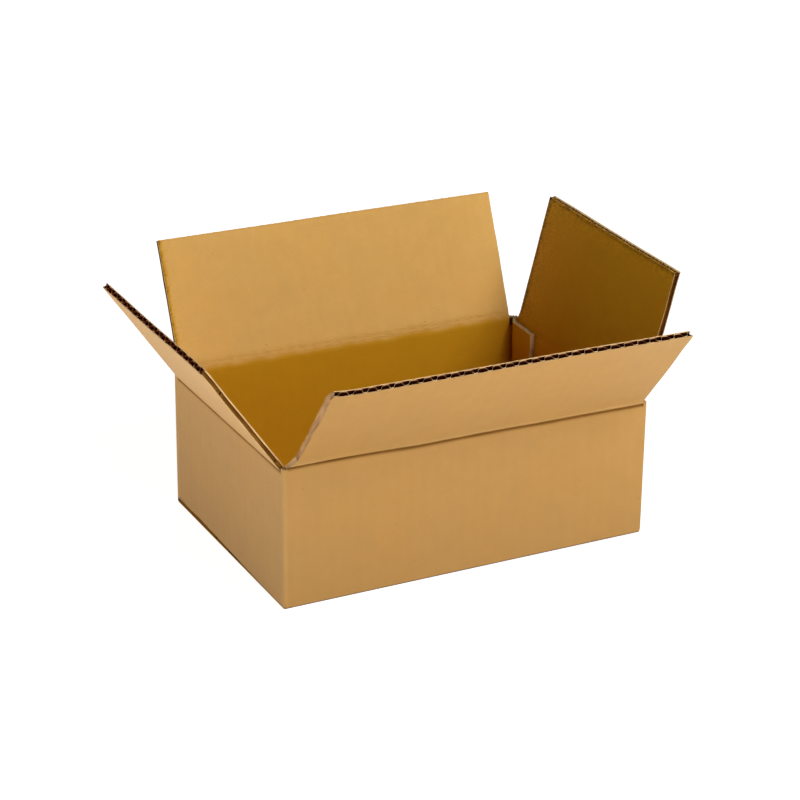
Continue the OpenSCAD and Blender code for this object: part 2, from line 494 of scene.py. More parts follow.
def make_flap(side):
    piece = Piece(SIDE_NAMES[side] + "_flap_board")
    flap_face(piece, side, 0)
    flap_face(piece, side, 1)
    free_edge(piece, side)
    board_side(piece, side, 0)
    board_side(piece, side, 1)
    made = piece.build()
    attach(made, SIDE_NAMES[side] + "_flap")
    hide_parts(SIDE_NAMES[side] + "_flap")


# Creases


def groove(offset, u, seed):
    """Outer facing's pressed crease: how deep it dips and its tone, at distances from its middle. The tone
    paints shade into the groove and a paler band below it, worn and partly painted light.
    """
    offset = offset[None, :] - 0.00012 * smooth_noise(u, seed, 0.02)
    slit = bell(offset, GROOVE_WIDTH)
    lips = 0.16 * bell(offset, LIPS_WIDTH)
    depth = 1 + 0.22 * smooth_noise(u, seed + 1, 0.014)
    # Painted shade in the groove; a paler band below it, worn and partly painted light
    worn_and_lit = 0.35 * bell(offset - 0.0015, 0.0005) * (0.7 + 0.5 * smooth_noise(u, seed + 2, 0.03))
    return GROOVE_DEPTH * (slit + lips) * depth, np.clip(slit * 1.5 * depth, 0, 1.05) - worn_and_lit


def inner_fold(side, along, u):
    """Inner facing's crushed fold: a shallow trough with wrinkles, and where its tone changes. The wall
    below the fold is deep with painted shade, and a mottled band of painted shade lies over the wrinkles.
    """
    wander = 0.0006 * smooth_noise(u, 51 + side, 0.045) + 0.00025 * smooth_noise(u, 55 + side, 0.009)
    offset = along[None, :] - wander
    wrinkle = rough_noise(u, along[None, :], 60 + side, 0.0060, 0.0016)
    dip = TROUGH_DEPTH * bell(offset, TROUGH_WIDTH) + 0.00005 * wrinkle * bell(offset - 0.0012, 0.0021)
    edge = -0.0011 + 0.00055 * smooth_noise(u, 57 + side, 0.022)
    edge = edge + 0.0003 * smooth_noise(u, 58 + side, 0.006)
    # Painted shade: deep on the wall below the fold, the flap's own tone above
    below = 1 / (1 + np.exp((offset - edge) / 0.00055))
    mottle = 0.5 + 0.9 * rough_noise(u, along[None, :], 64 + side, 0.0055, 0.0014)
    wrinkle_shade = 0.30 * np.clip(mottle, 0, 1.4) * bell(offset - 0.0010, 0.0024)
    tone = FLAP_SHADE_TONE[side] + (1 - FLAP_SHADE_TONE[side]) * np.clip(below + wrinkle_shade * (1 - below), 0, 1)
    return dip, tone


def crease_section(side, face, u):
    """Section of one facing across the fold for every u, as y and z, with its tone."""
    depth, height = crease(side)
    lean = math.radians(LEAN[side])
    level = BOARD * face - depth
    corner = np.array([BOARD * face, height + level * math.tan(lean / 2)])
    up = np.array([-math.sin(lean), math.cos(lean)])
    into = np.array([math.cos(lean / 2), math.sin(lean / 2)])
    if face == 0:
        along = np.array([-22, -16, -11, -8, -6, -4.5, -3.2, -2.2, -1.3, -0.6, 0])
        along = np.concatenate([along, -along[-2:0:-1], [30]]) * 1e-4
        dip, tone = groove(along, u, 41 + side)
        drop = np.interp(u, *GROOVE_DROP[side]) if side in GROOVE_DROP else 0 * u
    else:
        along = np.linspace(-0.0042, 0.0042, 33)
        dip, tone = inner_fold(side, along, u)
        dip = -dip
        drop = 0 * u
    fade = np.clip((along[-1] - np.abs(along)) / 0.0006, 0, 1)[None, :]
    along = along[None, :] - drop
    section = corner + np.minimum(along, 0)[..., None] * np.array([0, 1])
    section = section + np.maximum(along, 0)[..., None] * up + (dip * fade)[..., None] * into
    low = np.array([BOARD * face, height - CRUSH_REACH])
    high = np.array([depth, height]) + level * np.array([math.cos(lean), math.sin(lean)]) + CRUSH_REACH * up
    section = np.concatenate([np.tile(low, (len(u), 1, 1)), section, np.tile(high, (len(u), 1, 1))], 1)
    tone = np.concatenate([tone[:, :1], tone, tone[:, -1:]], 1)
    return section[..., 0], section[..., 1], tone


def crease_skin(piece, side, face):
    """One facing across the fold. Its sides run from the wall's slots to the flap's own sides."""
    mix = steps(0, 1, 0.0006 / wall_length(side))[:, None]
    y, z, tone = crease_section(side, face, wall_length(side) * (mix - 0.5))
    run = np.concatenate([[0], np.cumsum(np.hypot(np.diff(y[0]), np.diff(z[0])))])
    share = (run / run[-1])[None, :]
    beyond = np.clip(2 * share - 1, 0, 1) ** 0.5
    slots = [slot_edge(side, end) for end in (0, 1)]
    tops = [float(flap_edge(side, end, face, np.array(CRUSH_REACH))) for end in (0, 1)]
    low, high = (slot + (top - slot) * beyond for slot, top in zip(slots, tops))
    u = low + (high - low) * mix
    v = crease(side)[1] - CRUSH_REACH + share * 2 * CRUSH_REACH
    points = place(side, u, y, z)
    piece.patch(points, coords(blank_u(side, u), v), (OUTER, INNER)[face], bool(face), tone)
    return points


def crease_ends(piece, side, outer, inner):
    """Closes both ends of a crease between its two facings."""
    count = 40
    mix = column(0, 0.12, 0.3, 0.5, 0.7, 0.88, 1)[..., None]
    grid = coords(np.linspace(0, BOARD, len(mix))[:, None], np.linspace(0, 2 * CRUSH_REACH, count)[None, :])
    for end, row in ((0, 0), (1, -1)):
        first, last = resample(outer[row], count), resample(inner[row], count)
        pressed = (side, end) == (FRONT, 0)
        hollow, channel, tone = (0.00015, CUT, 0.55) if pressed else (0.0007, CHANNEL, 0.6)
        recess = column(0, 0, 0.8, 1, 0.8, 0, 0)[..., None] * hollow
        inward = (place(side, 1.0, 0, 0) - place(side, 0.0, 0, 0)) * (1 if end == 0 else -1)
        points = first + (last - first) * mix + recess * inward
        piece.cut_rows(points, grid, end == 1, (0.4, tone, 0.4), channel)


def make_crease(side):
    piece = Piece(SIDE_NAMES[side] + "_crease_skin")
    outer = crease_skin(piece, side, 0)
    inner = crease_skin(piece, side, 1)
    crease_ends(piece, side, outer, inner)
    made = piece.build()
    depth, height = crease(side)
    lean = math.radians(LEAN[side])
    across, up = BEND_HALF * math.sin(lean / 2), BEND_HALF * math.cos(lean / 2)
    start = place(side, 0.0, depth + across, height - up)
    end = place(side, 0.0, depth - across, height + up)
    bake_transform(made)


# Body


def wall_foot(side, u):
    """Height of a wall's bottom fold. The end walls' folds lie one board up, less at the left front."""
    if side == FRONT:
        return 0.0009 * np.clip(0.5 + u / BOX_LENGTH, 0, 1)
    if side in (RIGHT, BACK):
        return np.full_like(u, BOARD * (side == RIGHT))
    share = np.clip((0.5 + u / BOX_WIDTH - 0.05) / 0.75, 0, 1)
    return BOARD * (1 - share) + 0.0004 * share


def wall_panel(piece, side, face):
    """One facing of a wall between its slots, up to the crease."""
    height = crease(side)[1]
    mix = steps(0, 1, GRID_STEP / wall_length(side))[:, None]
    start = TAB_CORNER - wall_length(side) / 2 if (side, face) == (BACK, 1) else slot_edge(side, 0)
    u = start + (slot_edge(side, 1) - start) * mix
    foot = wall_foot(side, u) + (BOARD if face else BOTTOM_RADIUS)
    rise = steps(0, 1, GRID_STEP / height)[None, :]
    z = foot + (height - CRUSH_REACH - foot) * rise
    bulge = 0.00018 * rough_noise(u, z, 110 + side, 0.12, 0.08)
    bulge = np.maximum(bulge * np.sin(math.pi * mix) * np.sin(math.pi * rise), 0)
    # Painted shade: the inner facing is deep inside the box, and the outer facing is darker towards the
    # bottom and, on the front wall, towards its left end.
    tone = 1.0
    if face == 0:
        tone = {FRONT: 0.10 * (1 - mix), LEFT: 0.12}.get(side, 0.05) * (1 - 0.6 * rise)
    points = place(side, u, BOARD * face + bulge, z)
    piece.patch(points, coords(blank_u(side, u), z), (OUTER, INNER)[face], bool(face), tone)


def corner_path(side, depth, start, end, radius):
    """Plan of a line round the corner after a side, with its distance along the blank."""
    after = (side + 1) % 4
    half, half_after = wall_length(side) / 2, wall_length(after) / 2
    straight = half - depth - radius
    turn = np.linspace(0, math.pi / 2, 9)
    first = steps(start, straight, CORNER_STEP)[:-1]
    last = steps(-half_after + depth + radius, end, CORNER_STEP)[1:]
    path = np.concatenate([
        plan(side, first, depth),
        plan(side, straight + radius * np.sin(turn), depth + radius - radius * np.cos(turn)),
        plan(after, last, depth),
    ])
    arc = [first, straight + radius * turn, half + last + half_after]
    return path, blank_u(side, np.concatenate(arc))


def upright_skin(piece, path, arc, z, slot, flip, tone=0.0):
    z = z + np.zeros((len(path), 1))
    points = np.concatenate([np.broadcast_to(path[:, None, :], z.shape + (2,)), z[..., None]], -1)
    piece.patch(points, coords(arc[:, None], z), slot, flip, tone)


def corner_strip(piece, side):
    """The board round the corner after a side, up to the slots' floor, rounded in at its foot."""
    after = (side + 1) % 4
    start, end = slot_edge(side, 1), slot_edge(after, 0)
    outer, arc = corner_path(side, 0, start, end, CORNER_RADIUS)
    share = np.clip((np.arange(len(outer)) - len(outer) / 2 + 5) / 10, 0, 1)
    here = wall_foot(side, np.array([start]))[0]
    beyond = wall_foot(after, np.array([end]))[0]
    foot = here + (beyond - here) * share
    lines = []
    for turn in np.linspace(0, math.pi / 2, 5):
        inset = BOTTOM_RADIUS * (1 - math.sin(turn))
        path = corner_path(side, inset, start, end, CORNER_RADIUS - inset)[0]
        z = foot + BOTTOM_RADIUS * (1 - math.cos(turn))
        lines.append(np.concatenate([path, z[:, None]], -1))
    rise = steps(0, 1, HEIGHT_SHARE)
    for share_up in rise[1:]:
        lines.append(np.concatenate([outer, (z + (SLOT_FLOOR - z) * share_up)[:, None]], -1))
    points = np.stack(lines, 1)
    # The corner edge is faintly paler, worn and partly painted light; along the foot runs painted shade
    # where the box meets the floor.
    wear_and_light = -0.10 * bell(arc - blank_u(side, wall_length(side) / 2), 0.0008)[:, None]
    shaded = 1.7 * np.clip(1.4 - (points[..., 2] - foot[:, None]) / (0.55 * BOTTOM_RADIUS), 0, 1)
    tone = np.where(shaded > 0, shaded, wear_and_light)
    piece.patch(points, coords(arc[:, None], points[..., 2]), OUTER, False, tone)
    inner, arc_in = corner_path(side, BOARD, start, end, INNER_RADIUS)
    z = (here + BOARD) + (SLOT_FLOOR - here - BOARD) * rise[None, :]
    # The inner facing is deep: painted shade of the box's inside
    upright_skin(piece, inner, arc_in, z, INNER, True, 1.0)
    corner_top(piece, outer, inner)


def corner_top(piece, outer, inner):
    """Cut end of the board between two slots: pressed liners with the crushed flutes between."""
    count = 48
    first, last = resample(outer, count), resample(inner, count)
    mix = column(0, 0.13, 0.3, 0.5, 0.7, 0.87, 1)
    drop = column(0, 0, 0.00035, 0.0002, 0.0004, 0, 0)
    run = np.arange(count)[None, :]
    z = SLOT_FLOOR - drop * (1 + 0.5 * smooth_noise(run, 80, 6))
    points = np.concatenate([first + (last - first) * mix[..., None], z[..., None]], -1)
    tone = column(0, 0.2, 0.9, 0.6, 1.0, 0.2, 0) + 0.2 * smooth_noise(run, 81, 5)
    piece.patch(points, coords(run * 0.0002, mix * BOARD), CUT, True, tone)


def raw_edge(piece, u, z):
    """Upright cut edge of the right wall's pressed lap: liner edges and the channel between."""
    z = z[None, :]
    far = BOARD - LINER
    level = column(0, LINER, LINER, 0.35 * BOARD, 0.65 * BOARD, far, far, BOARD) * LAP_BOARD / BOARD
    hollow = column(0, 0, 0.4, 1, 0.9, 0.4, 0, 0) * 0.0008
    ripple = 1 + 0.25 * smooth_noise(z, 121 + RIGHT, 0.006)
    piece.cut_rows(place(RIGHT, u - hollow * ripple, level, z), coords(level + u, z), True, (0.2, 0.6, 0.2))


def lap_corner(piece):
    """The glued lap: the right wall's raw edge beside the back wall's fold, which turns to the tab."""
    half = BOX_WIDTH / 2
    start, end = slot_edge(RIGHT, 1), half - LAP_GAP
    z = steps(BOARD + 0.0006, SLOT_FLOOR, 0.004)
    u = steps(start, end, LAP_STEP)
    path = plan(RIGHT, u, 0.0)
    upright_skin(piece, path, blank_u(RIGHT, u), z[None, :], OUTER, False)
    raw_edge(piece, end, z)
    corner_top(piece, path, plan(RIGHT, u, LAP_BOARD))
    straight = half - LAP_RADIUS
    u = steps(start, straight, LAP_STEP)[:-1]
    turn = np.linspace(0, math.pi / 2, 9)
    depth = LAP_BOARD + LAP_RADIUS - LAP_RADIUS * np.cos(turn)
    fold = np.concatenate([
        plan(RIGHT, u, LAP_BOARD),
        plan(RIGHT, straight + LAP_RADIUS * np.sin(turn), depth),
        plan(BACK, slot_edge(BACK, 0), 0.0)[None],
    ])
    along = np.concatenate([u - straight, LAP_RADIUS * turn, [LAP_RADIUS * math.pi / 2 + 0.0004]])
    low = steps(0.0006, SLOT_FLOOR, 0.004)[None, :]
    upright_skin(piece, fold, blank_u(BACK, -BOX_LENGTH / 2) + along, low, OUTER, False)
    lining = np.array([
        plan(RIGHT, start, BOARD + 0.0012),
        plan(RIGHT, half - BOARD, TAB_CORNER),
        plan(BACK, TAB_CORNER - BOX_LENGTH / 2, BOARD),
        plan(BACK, slot_edge(BACK, 0), BOARD),
    ])
    corner_top(piece, fold, lining)
    z = steps(BOARD, SLOT_FLOOR, 0.004)[None, :]
    # The inner lining is deep: painted shade of the box's inside
    upright_skin(piece, lining[1:3], np.array([0.3, 0.3 + BOARD]), z, INNER, True, 1.0)


def slot_sides(piece, side, end):
    """Upright ends of the wall's board between the crease and the slot's floor."""
    height = crease(side)[1]
    z = np.linspace(height - CRUSH_REACH, SLOT_FLOOR, 4)[None, :]
    level = column(0, LINER, BOARD - LINER, BOARD)
    piece.patch(place(side, slot_edge(side, end), level, z), coords(level, z), CUT, end == 0, 0.6)


def bottom_fold(piece, side):
    """A wall's bottom fold and its glued bottom flap, out to the seam."""
    first, last = {FRONT: (0.0003, 0.0008), BACK: (0.0008, 0.0003)}.get(side, (0.0026, 0.0026))
    half = wall_length(side) / 2
    u = steps(first - half, half - last, GRID_STEP)[:, None]
    foot = wall_foot(side, u)
    level = 0.0 if side in (FRONT, BACK) else BOARD
    shift = {FRONT: SEAM_SHIFT, BACK: -SEAM_SHIFT}.get(side, 0)
    end = BOX_WIDTH / 2 + shift - SEAM_GAP / 2
    turn = np.linspace(0, math.pi / 2, 7)
    run = np.array([0.002, 0.003, 0.004, 0.006, 0.008, 0.012, 0.02, 0.03, 0.04, 0.05, end])
    rise = np.clip((run - 0.0015) / 0.0035, 0, 1)
    y = np.concatenate([BOTTOM_RADIUS * (1 - np.cos(turn)), run])
    z_arc = foot + BOTTOM_RADIUS * (1 - np.sin(turn))
    z = np.concatenate([z_arc, foot + (level - foot) * rise * rise * (3 - 2 * rise)], 1)
    # Painted shade: a dark line under the fold, where the box meets the floor
    contact_shade = 1.7 * np.clip(y / BOTTOM_RADIUS / 0.06, 0, 1) * np.clip((0.006 - y) / 0.004, 0, 1)
    piece.patch(place(side, u, y, z), coords(blank_u(side, u), -y), OUTER, False, contact_shade)
    top_run = np.concatenate([BOARD + np.arange(8) * 0.0004, steps(BOARD + 0.0034, end, 0.004)])
    top = level + BOARD + 0.0006 * bell(top_run - BOARD, 0.0012)
    # The inner facing is deep: painted shade of the box's inside
    piece.patch(place(side, u, top_run, top), coords(blank_u(side, u), -top_run), INNER, True, 1.0)
    low, high = u[0, 0], u[-1, 0]
    fluted_end(piece, side, low, high, end, level)
    bottom_side(piece, side, low, y, z[0], level, False)
    bottom_side(piece, side, high, y, z[-1], level, True)


def fluted_end(piece, side, start, end, y_end, level):
    """Cut end of a bottom flap, at the seam: liners with the wave between them."""
    u = steps(start, end, EDGE_STEP * 2)[:, None]
    along = blank_u(side, u)
    middle = flute_height(along)

    def strip(a, b, y_low, y_high, slot, flip=False):
        z = level + np.concatenate([a + 0 * u, b + 0 * u], 1)
        y = np.concatenate([y_low + 0 * u, y_high + 0 * u], 1)
        piece.patch(place(side, u, y, z), coords(along, z - y), slot, flip)

    back = y_end - CELL_DEPTH
    low, high, far = middle - MEDIUM / 2, middle + MEDIUM / 2, BOARD - LINER
    for first, last in ((0, LINER), (far, BOARD), (low, high)):
        strip(first, last, y_end, y_end, CUT)
    # The cells' walls take the near-black flutes paper: painted shade in the cells
    for wall, flip in ((LINER, False), (far, True), (low, True), (high, False)):
        strip(wall, wall, y_end, back, FLUTE, flip)
    strip(LINER, far, back, back, FLUTE)


def bottom_side(piece, side, u, run, low, level, last):
    """Cut side of a bottom flap, from the fold to the seam."""
    high = np.maximum(level + BOARD, low)
    rows = np.stack([low, low + LINER, (low + high) / 2, high - LINER, high])
    inset = column(0, 0, 0.0009, 0, 0) * (-1 if last else 1)
    piece.cut_rows(place(side, u + inset, run, rows), coords(run, rows), not last)


def make_walls():
    piece = Piece("carton_walls")
    for side in SIDE_NAMES:
        for face in (0, 1):
            wall_panel(piece, side, face)
        if side == RIGHT:
            lap_corner(piece)
        else:
            corner_strip(piece, side)
        for end in (0, 1):
            slot_sides(piece, side, end)
    made = piece.build()
    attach(made, "box_body")
    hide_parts("box_body")


def make_bottom():
    piece = Piece("carton_bottom")
    for side in SIDE_NAMES:
        bottom_fold(piece, side)
    made = piece.build()
    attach(made, "box_body")


def make_tab():
    """Glue tab inside the right wall: its face, its cut top end and its free upright edge."""
    piece = Piece("glue_tab_board")
    near = BOX_WIDTH / 2 - BOARD
    far = near - TAB_WIDTH
    foot = BOARD + TAB_FOOT

    def thick(u):
        """The crushed fold in the corner swells to the board's full thickness along the tab."""
        swell = np.clip((near - u) / TAB_SWELL, 0, 1)
        return (TAB_CORNER - BOARD) * (1 - swell ** 0.6) + (TAB_FACE - BOARD) * swell ** 0.6

    def tab_top(u):
        return np.interp(u, (far, near - TAB_BEND, near), TAB_TOP)

    bend = near - TAB_SWELL
    u = np.concatenate([steps(far, bend, GRID_STEP / 2), steps(bend, near, 0.0003)[1:]])[:, None]
    low = foot + TAB_FOOT_RISE * (near - u) / (near - far)
    z = low + (tab_top(u) - low) * steps(0, 1, 0.04)[None, :]
    points = place(RIGHT, u, BOARD + thick(u), z)
    # The tab's face is deep, painted shade of the box's inside, and darker still in the corner by the fold
    piece.patch(points, coords(0.5 + u, z), INNER, True, 1.0 + 0.35 * bell(near - u, 0.0018))
    fine = steps(far, near, EDGE_STEP)[None, :]
    levels = column(0, 0.16, 0.3, 0.45, 0.6, 0.75, 0.87, 1)
    # Pale and dark flecks on the cut top; the pale ones are partly painted highlights
    flecks_and_glints = 0.15 + 1.3 * rough_noise(fine, levels, 133, 0.0016, 0.5)
    drop = 0.00045 * np.sin(math.pi * levels) * (1 + rough_noise(fine, levels, 137, 0.0014, 0.7))
    drop = drop + 0.0002 * smooth_noise(fine, 131, 0.003) * (levels > 0)
    points = place(RIGHT, fine, BOARD + thick(fine) * levels, tab_top(fine) - drop)
    piece.patch(points, coords(0.5 + fine, levels * BOARD), CUT, False, np.clip(flecks_and_glints, -0.1, 1.45))
    z = np.linspace(foot + TAB_FOOT_RISE, TAB_TOP[0], 40)[None, :]
    level = BOARD + (TAB_FACE - BOARD) * column(0, 0.2, 0.5, 0.8, 1)
    points = place(RIGHT, far + column(0, 0, 0.0003, 0, 0), level, z)
    tone = column(0.8, 0.4, 0.5, 0.4, 0.3) + 0.25 * smooth_noise(z, 135, 0.008)
    piece.patch(points, coords(level, z), CUT, False, tone)
    made = piece.build()
    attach(made, "box_body")


# Materials


class Nodes:
    """Short way to wire a material's nodes. Positions on the board are in millimetres."""

    def __init__(self, name):
        self.material = bpy.data.materials.new(name)
        self.material.use_nodes = True
        self.tree = self.material.node_tree
        self.shader = self.tree.nodes["Principled BSDF"]
        uv = self.node("ShaderNodeUVMap")
        uv.uv_map = "board"
        self.place = self.vector("SCALE", uv.outputs[0], scale=1000)
        tone = self.node("ShaderNodeAttribute")
        tone.attribute_name = "tone"
        self.tone = tone.outputs["Fac"]

    def node(self, kind, **inputs):
        """A new node with values or links for its named inputs."""
        node = self.tree.nodes.new(kind)
        for name, value in inputs.items():
            self.link(value, node.inputs[name.replace("_", " ")])
        return node

    def link(self, value, socket):
        if hasattr(value, "is_output"):
            self.tree.links.new(value, socket)
        else:
            socket.default_value = value

    def vector(self, operation, a, b=None, scale=None):
        node = self.node("ShaderNodeVectorMath")
        node.operation = operation
        self.link(a, node.inputs[0])
        if b is not None:
            self.link(b, node.inputs[1])
        if scale is not None:
            self.link(scale, node.inputs["Scale"])
        return node.outputs[0]

    def math(self, operation, a, b=0.0, c=0.0, clamp=False):
        node = self.node("ShaderNodeMath")
        node.operation = operation
        node.use_clamp = clamp
        for value, socket in zip((a, b, c), node.inputs):
            self.link(value, socket)
        return node.outputs[0]

    def times(self, a, b):
        return self.math("MULTIPLY", a, b)

    def fit(self, value, scale, base):
        return self.math("MULTIPLY_ADD", value, scale, base)

    def beyond_deep(self, tone):
        """How far the tone goes past 1, where the paper only gets darker."""
        return self.math("MAXIMUM", self.math("SUBTRACT", tone, 1.0), 0.0)

    def turned(self, angle, stretch):
        """Board positions turned and stretched, for grain that lies one way."""
        rotation = 0, 0, math.radians(angle)
        node = self.node("ShaderNodeMapping", Vector=self.place, Rotation=rotation, Scale=(*stretch, 1))
        return node.outputs[0]

    def noise(self, scale, detail=2.0, rough=0.5, where=None, shift=0.0):
        where = self.place if where is None else where
        moved = self.vector("ADD", where, (shift, shift * 1.7, shift))
        kind = "ShaderNodeTexNoise"
        return self.node(kind, Vector=moved, Scale=scale, Detail=detail, Roughness=rough).outputs["Fac"]

    def ramp(self, value, low, high):
        node = self.node("ShaderNodeMapRange", Value=value, From_Min=low, From_Max=high)
        node.interpolation_type = "SMOOTHSTEP"
        return node.outputs["Result"]

    def mix(self, amount, a, b):
        node = self.node("ShaderNodeMix", Factor=amount)
        node.data_type = "RGBA"
        for value, socket in zip((a, b), (s for s in node.inputs if s.type == "RGBA")):
            self.link((*value, 1) if isinstance(value, tuple) else value, socket)
        return next(s for s in node.outputs if s.type == "RGBA")

    def specks(self, scale, size, shift=0.0):
        """Scattered specks: one in a cell, of every size up to the given share of a cell."""
        drift = self.vector("SCALE", self.noise(scale * 5, 2, 0.6, shift=shift + 3), scale=0.5)
        where = self.vector("ADD", self.turned(25 + shift, (1.0, 1.35)), drift)
        cell = self.node("ShaderNodeTexVoronoi", Vector=where, Scale=scale)
        split = self.node("ShaderNodeSeparateColor")
        self.link(cell.outputs["Color"], split.inputs[0])
        chance = self.math("MAXIMUM", self.ramp(split.outputs[0], 0.45, 1.0), 0.01)
        return self.ramp(self.math("DIVIDE", cell.outputs["Distance"], chance), size, 0.35 * size)


def darker(colour, factor):
    return tuple(value * factor for value in colour)


def surface(nodes, colour, rough, gloss, height, strength, relief):
    """Ends a paper material: colour, roughness, gloss and fine relief in metres."""
    nodes.link(colour, nodes.shader.inputs["Base Color"])
    nodes.link(rough, nodes.shader.inputs["Roughness"])
    nodes.shader.inputs["Specular IOR Level"].default_value = gloss
    bump = nodes.node("ShaderNodeBump", Strength=strength, Distance=relief, Height=height)
    nodes.link(bump.outputs[0], nodes.shader.inputs["Normal"])


def kraft_paper(name, pale, deep, worn_and_lit, washboard, gloss):
    """Unbleached kraft facing: cloudy pulp, fibres, specks and shives, and the flutes' faint bands. The tone
    mixes in the deep colour as painted shade, and below 0 the worn and lit colour, for wear and painted
    light.
    """
    nodes = Nodes(name)
    cloud = nodes.noise(0.10, 4, 0.62)
    drift = nodes.noise(0.035, 2, 0.5, shift=40)
    fleck = nodes.noise(0.9, 3, 0.6, shift=11)
    grain = nodes.noise(5.5, 2, 0.6, shift=5)
    along = nodes.noise(1.0, 2, 0.5, nodes.turned(8, (0.35, 3.4)), 2)
    across = nodes.noise(1.0, 2, 0.5, nodes.turned(-62, (0.45, 4.2)), 7)
    light_fibre = nodes.ramp(along, 0.66, 0.78)
    dark_fibre = nodes.ramp(across, 0.67, 0.80)
    # Painted shade towards the deep colour and darker above 1; paler below 0 for wear and painted light
    tone = nodes.math("MAXIMUM", nodes.tone, 0.0)
    wear_and_light = nodes.math("MULTIPLY", nodes.tone, -1.0, clamp=True)
    colour = nodes.mix(nodes.math("MINIMUM", tone, 1.0), pale, deep)
    colour = nodes.mix(wear_and_light, colour, worn_and_lit)
    shade = nodes.fit(cloud, 0.15, 0.925)
    shade = nodes.times(shade, nodes.fit(fleck, 0.09, 0.955))
    shade = nodes.times(shade, nodes.fit(grain, 0.12, 0.94))
    split = nodes.node("ShaderNodeSeparateXYZ")
    nodes.link(nodes.place, split.inputs[0])
    bands = nodes.math("COSINE", nodes.times(split.outputs[0], 2 * math.pi / (FLUTE_PITCH * 1000)))
    shade = nodes.times(shade, nodes.fit(bands, 0.006 * washboard, 1.0))
    shade = nodes.times(shade, nodes.math("SUBTRACT", 1.0, nodes.beyond_deep(tone), clamp=True))
    red = nodes.fit(drift, 0.09, 0.955)
    tint = nodes.node("ShaderNodeCombineXYZ")
    nodes.link(nodes.times(shade, red), tint.inputs[0])
    nodes.link(shade, tint.inputs[1])
    nodes.link(nodes.math("DIVIDE", shade, nodes.math("POWER", red, 2.0)), tint.inputs[2])
    colour = nodes.vector("MULTIPLY", colour, tint.outputs[0])
    for mask, amount, paint in (
        (light_fibre, 0.20, darker(worn_and_lit, 1.08)),
        (dark_fibre, 0.10, darker(deep, 0.55)),
        (nodes.specks(0.20, 0.10), 0.46, darker(deep, 0.40)),
        (nodes.specks(0.42, 0.11, 9), 0.22, darker(deep, 0.50)),
        (nodes.specks(0.20, 0.10, 21), 0.42, worn_and_lit),
    ):
        colour = nodes.mix(nodes.times(mask, amount), colour, paint)
    rough = nodes.fit(light_fibre, -0.06, nodes.fit(fleck, 0.16, 0.56))
    height = nodes.fit(grain, 0.5, nodes.times(fleck, 0.7))
    for layer, amount in ((light_fibre, 0.5), (cloud, 1.6), (bands, 0.9 * washboard)):
        height = nodes.math("ADD", height, nodes.times(layer, amount))
    surface(nodes, colour, rough, gloss, height, 0.55, 0.00003)
    return nodes.material


def cut_paper(name, pale, deep, dark, roughness, gloss):
    """Torn and sawn paper: fibre ends, dust and soft dark pits. Tone runs from pale to deep and on."""
    nodes = Nodes(name)
    fuzz = nodes.noise(7.0, 3, 0.65)
    clump = nodes.noise(1.3, 3, 0.6, shift=17)
    strand = nodes.noise(1.0, 2, 0.5, nodes.turned(86, (0.8, 6.0)), 4)
    # The tone paints shade on cut sides that lie in shade
    colour = nodes.mix(nodes.math("MULTIPLY", nodes.tone, 1.0, clamp=True), pale, deep)
    colour = nodes.mix(nodes.times(nodes.ramp(clump, 0.50, 0.72), 0.40), colour, dark)
    colour = nodes.mix(nodes.times(nodes.ramp(strand, 0.55, 0.75), 0.25), colour, darker(deep, 0.8))
    shade = nodes.fit(fuzz, 0.5, nodes.math("SUBTRACT", 0.75, nodes.beyond_deep(nodes.tone)))
    colour = nodes.vector("SCALE", colour, scale=shade)
    rough = nodes.fit(fuzz, 0.1, roughness - 0.08)
    surface(nodes, colour, rough, gloss, nodes.fit(fuzz, 0.6, clump), 0.8, 0.00006)
    return nodes.material


# In the order of the slots: three colours, then the washboard or the roughness, and the gloss. The kraft
# papers' deep colours are painted shade and the hue of their dark fibres and specks, their worn colours
# serve wear and painted light, and the flutes' near-black colours are painted shade in the cells.
PAPERS = (
    (kraft_paper, "outside", (0.450, 0.240, 0.064), (0.21, 0.084, 0.003), (0.59, 0.375, 0.150), 1.0, 0.25),
    (kraft_paper, "inside", (0.744, 0.429, 0.123), (0.565, 0.272, 0.010), (0.77, 0.50, 0.15), 0.7, 0.05),
    (cut_paper, "cut_edge", (0.74, 0.50, 0.235), (0.37, 0.20, 0.088), (0.31, 0.145, 0.045), 0.92, 0.05),
    (cut_paper, "flutes", (0.16, 0.032, 0.010), (0.09, 0.018, 0.006), (0.06, 0.013, 0.004), 1.0, 0.0),
    (cut_paper, "channel", (0.34, 0.165, 0.03), (0.14, 0.05, 0.006), (0.07, 0.025, 0.004), 1.0, 0.0),
)
MATERIALS = [paper("kraft_" + name, *values) for paper, name, *values in PAPERS]

# Stage

CAMERA_AZIMUTH = 26.673
CAMERA_ELEVATION = 22.474
CAMERA_ROLL = 0.654
CAMERA_DISTANCE = 1.17825
CAMERA_SHIFT = (-0.00291, 0.05483)
CAMERA_LENS = 113.43

# Lamps: azimuth from the front and elevation in degrees, distance, size and power
LAMPS = {
    "key": (-25, 45, 1.8, (0.8, 0.6), 18.0),
    "right": (-45, 50, 0.9, (0.3, 0.3), 1.45),
    "front": (0, 24, 1.8, (0.8, 0.35), 3.4),
    "back": (-160, 25, 1.8, (0.8, 0.5), 5.0),
    "left": (85, 8, 1.6, (1.0, 0.5), 7.1),
}
LAMP_TARGET = Vector((0, 0, 0.08))

# The floor's bounce and glow for the box, which rise from a share of them near it over a reach,
# and the shadow and white that the camera sees
FLOOR_SIZE = 6.0
FLOOR_NEAR, FLOOR_REACH = 0.5, (0.10, 0.45)
FLOOR_BOUNCE, FLOOR_GLOW = 0.85, 1.55
FLOOR_SHADOW, FLOOR_WHITE = 0.30, 0.95
WORLD_LIGHT = 0.01


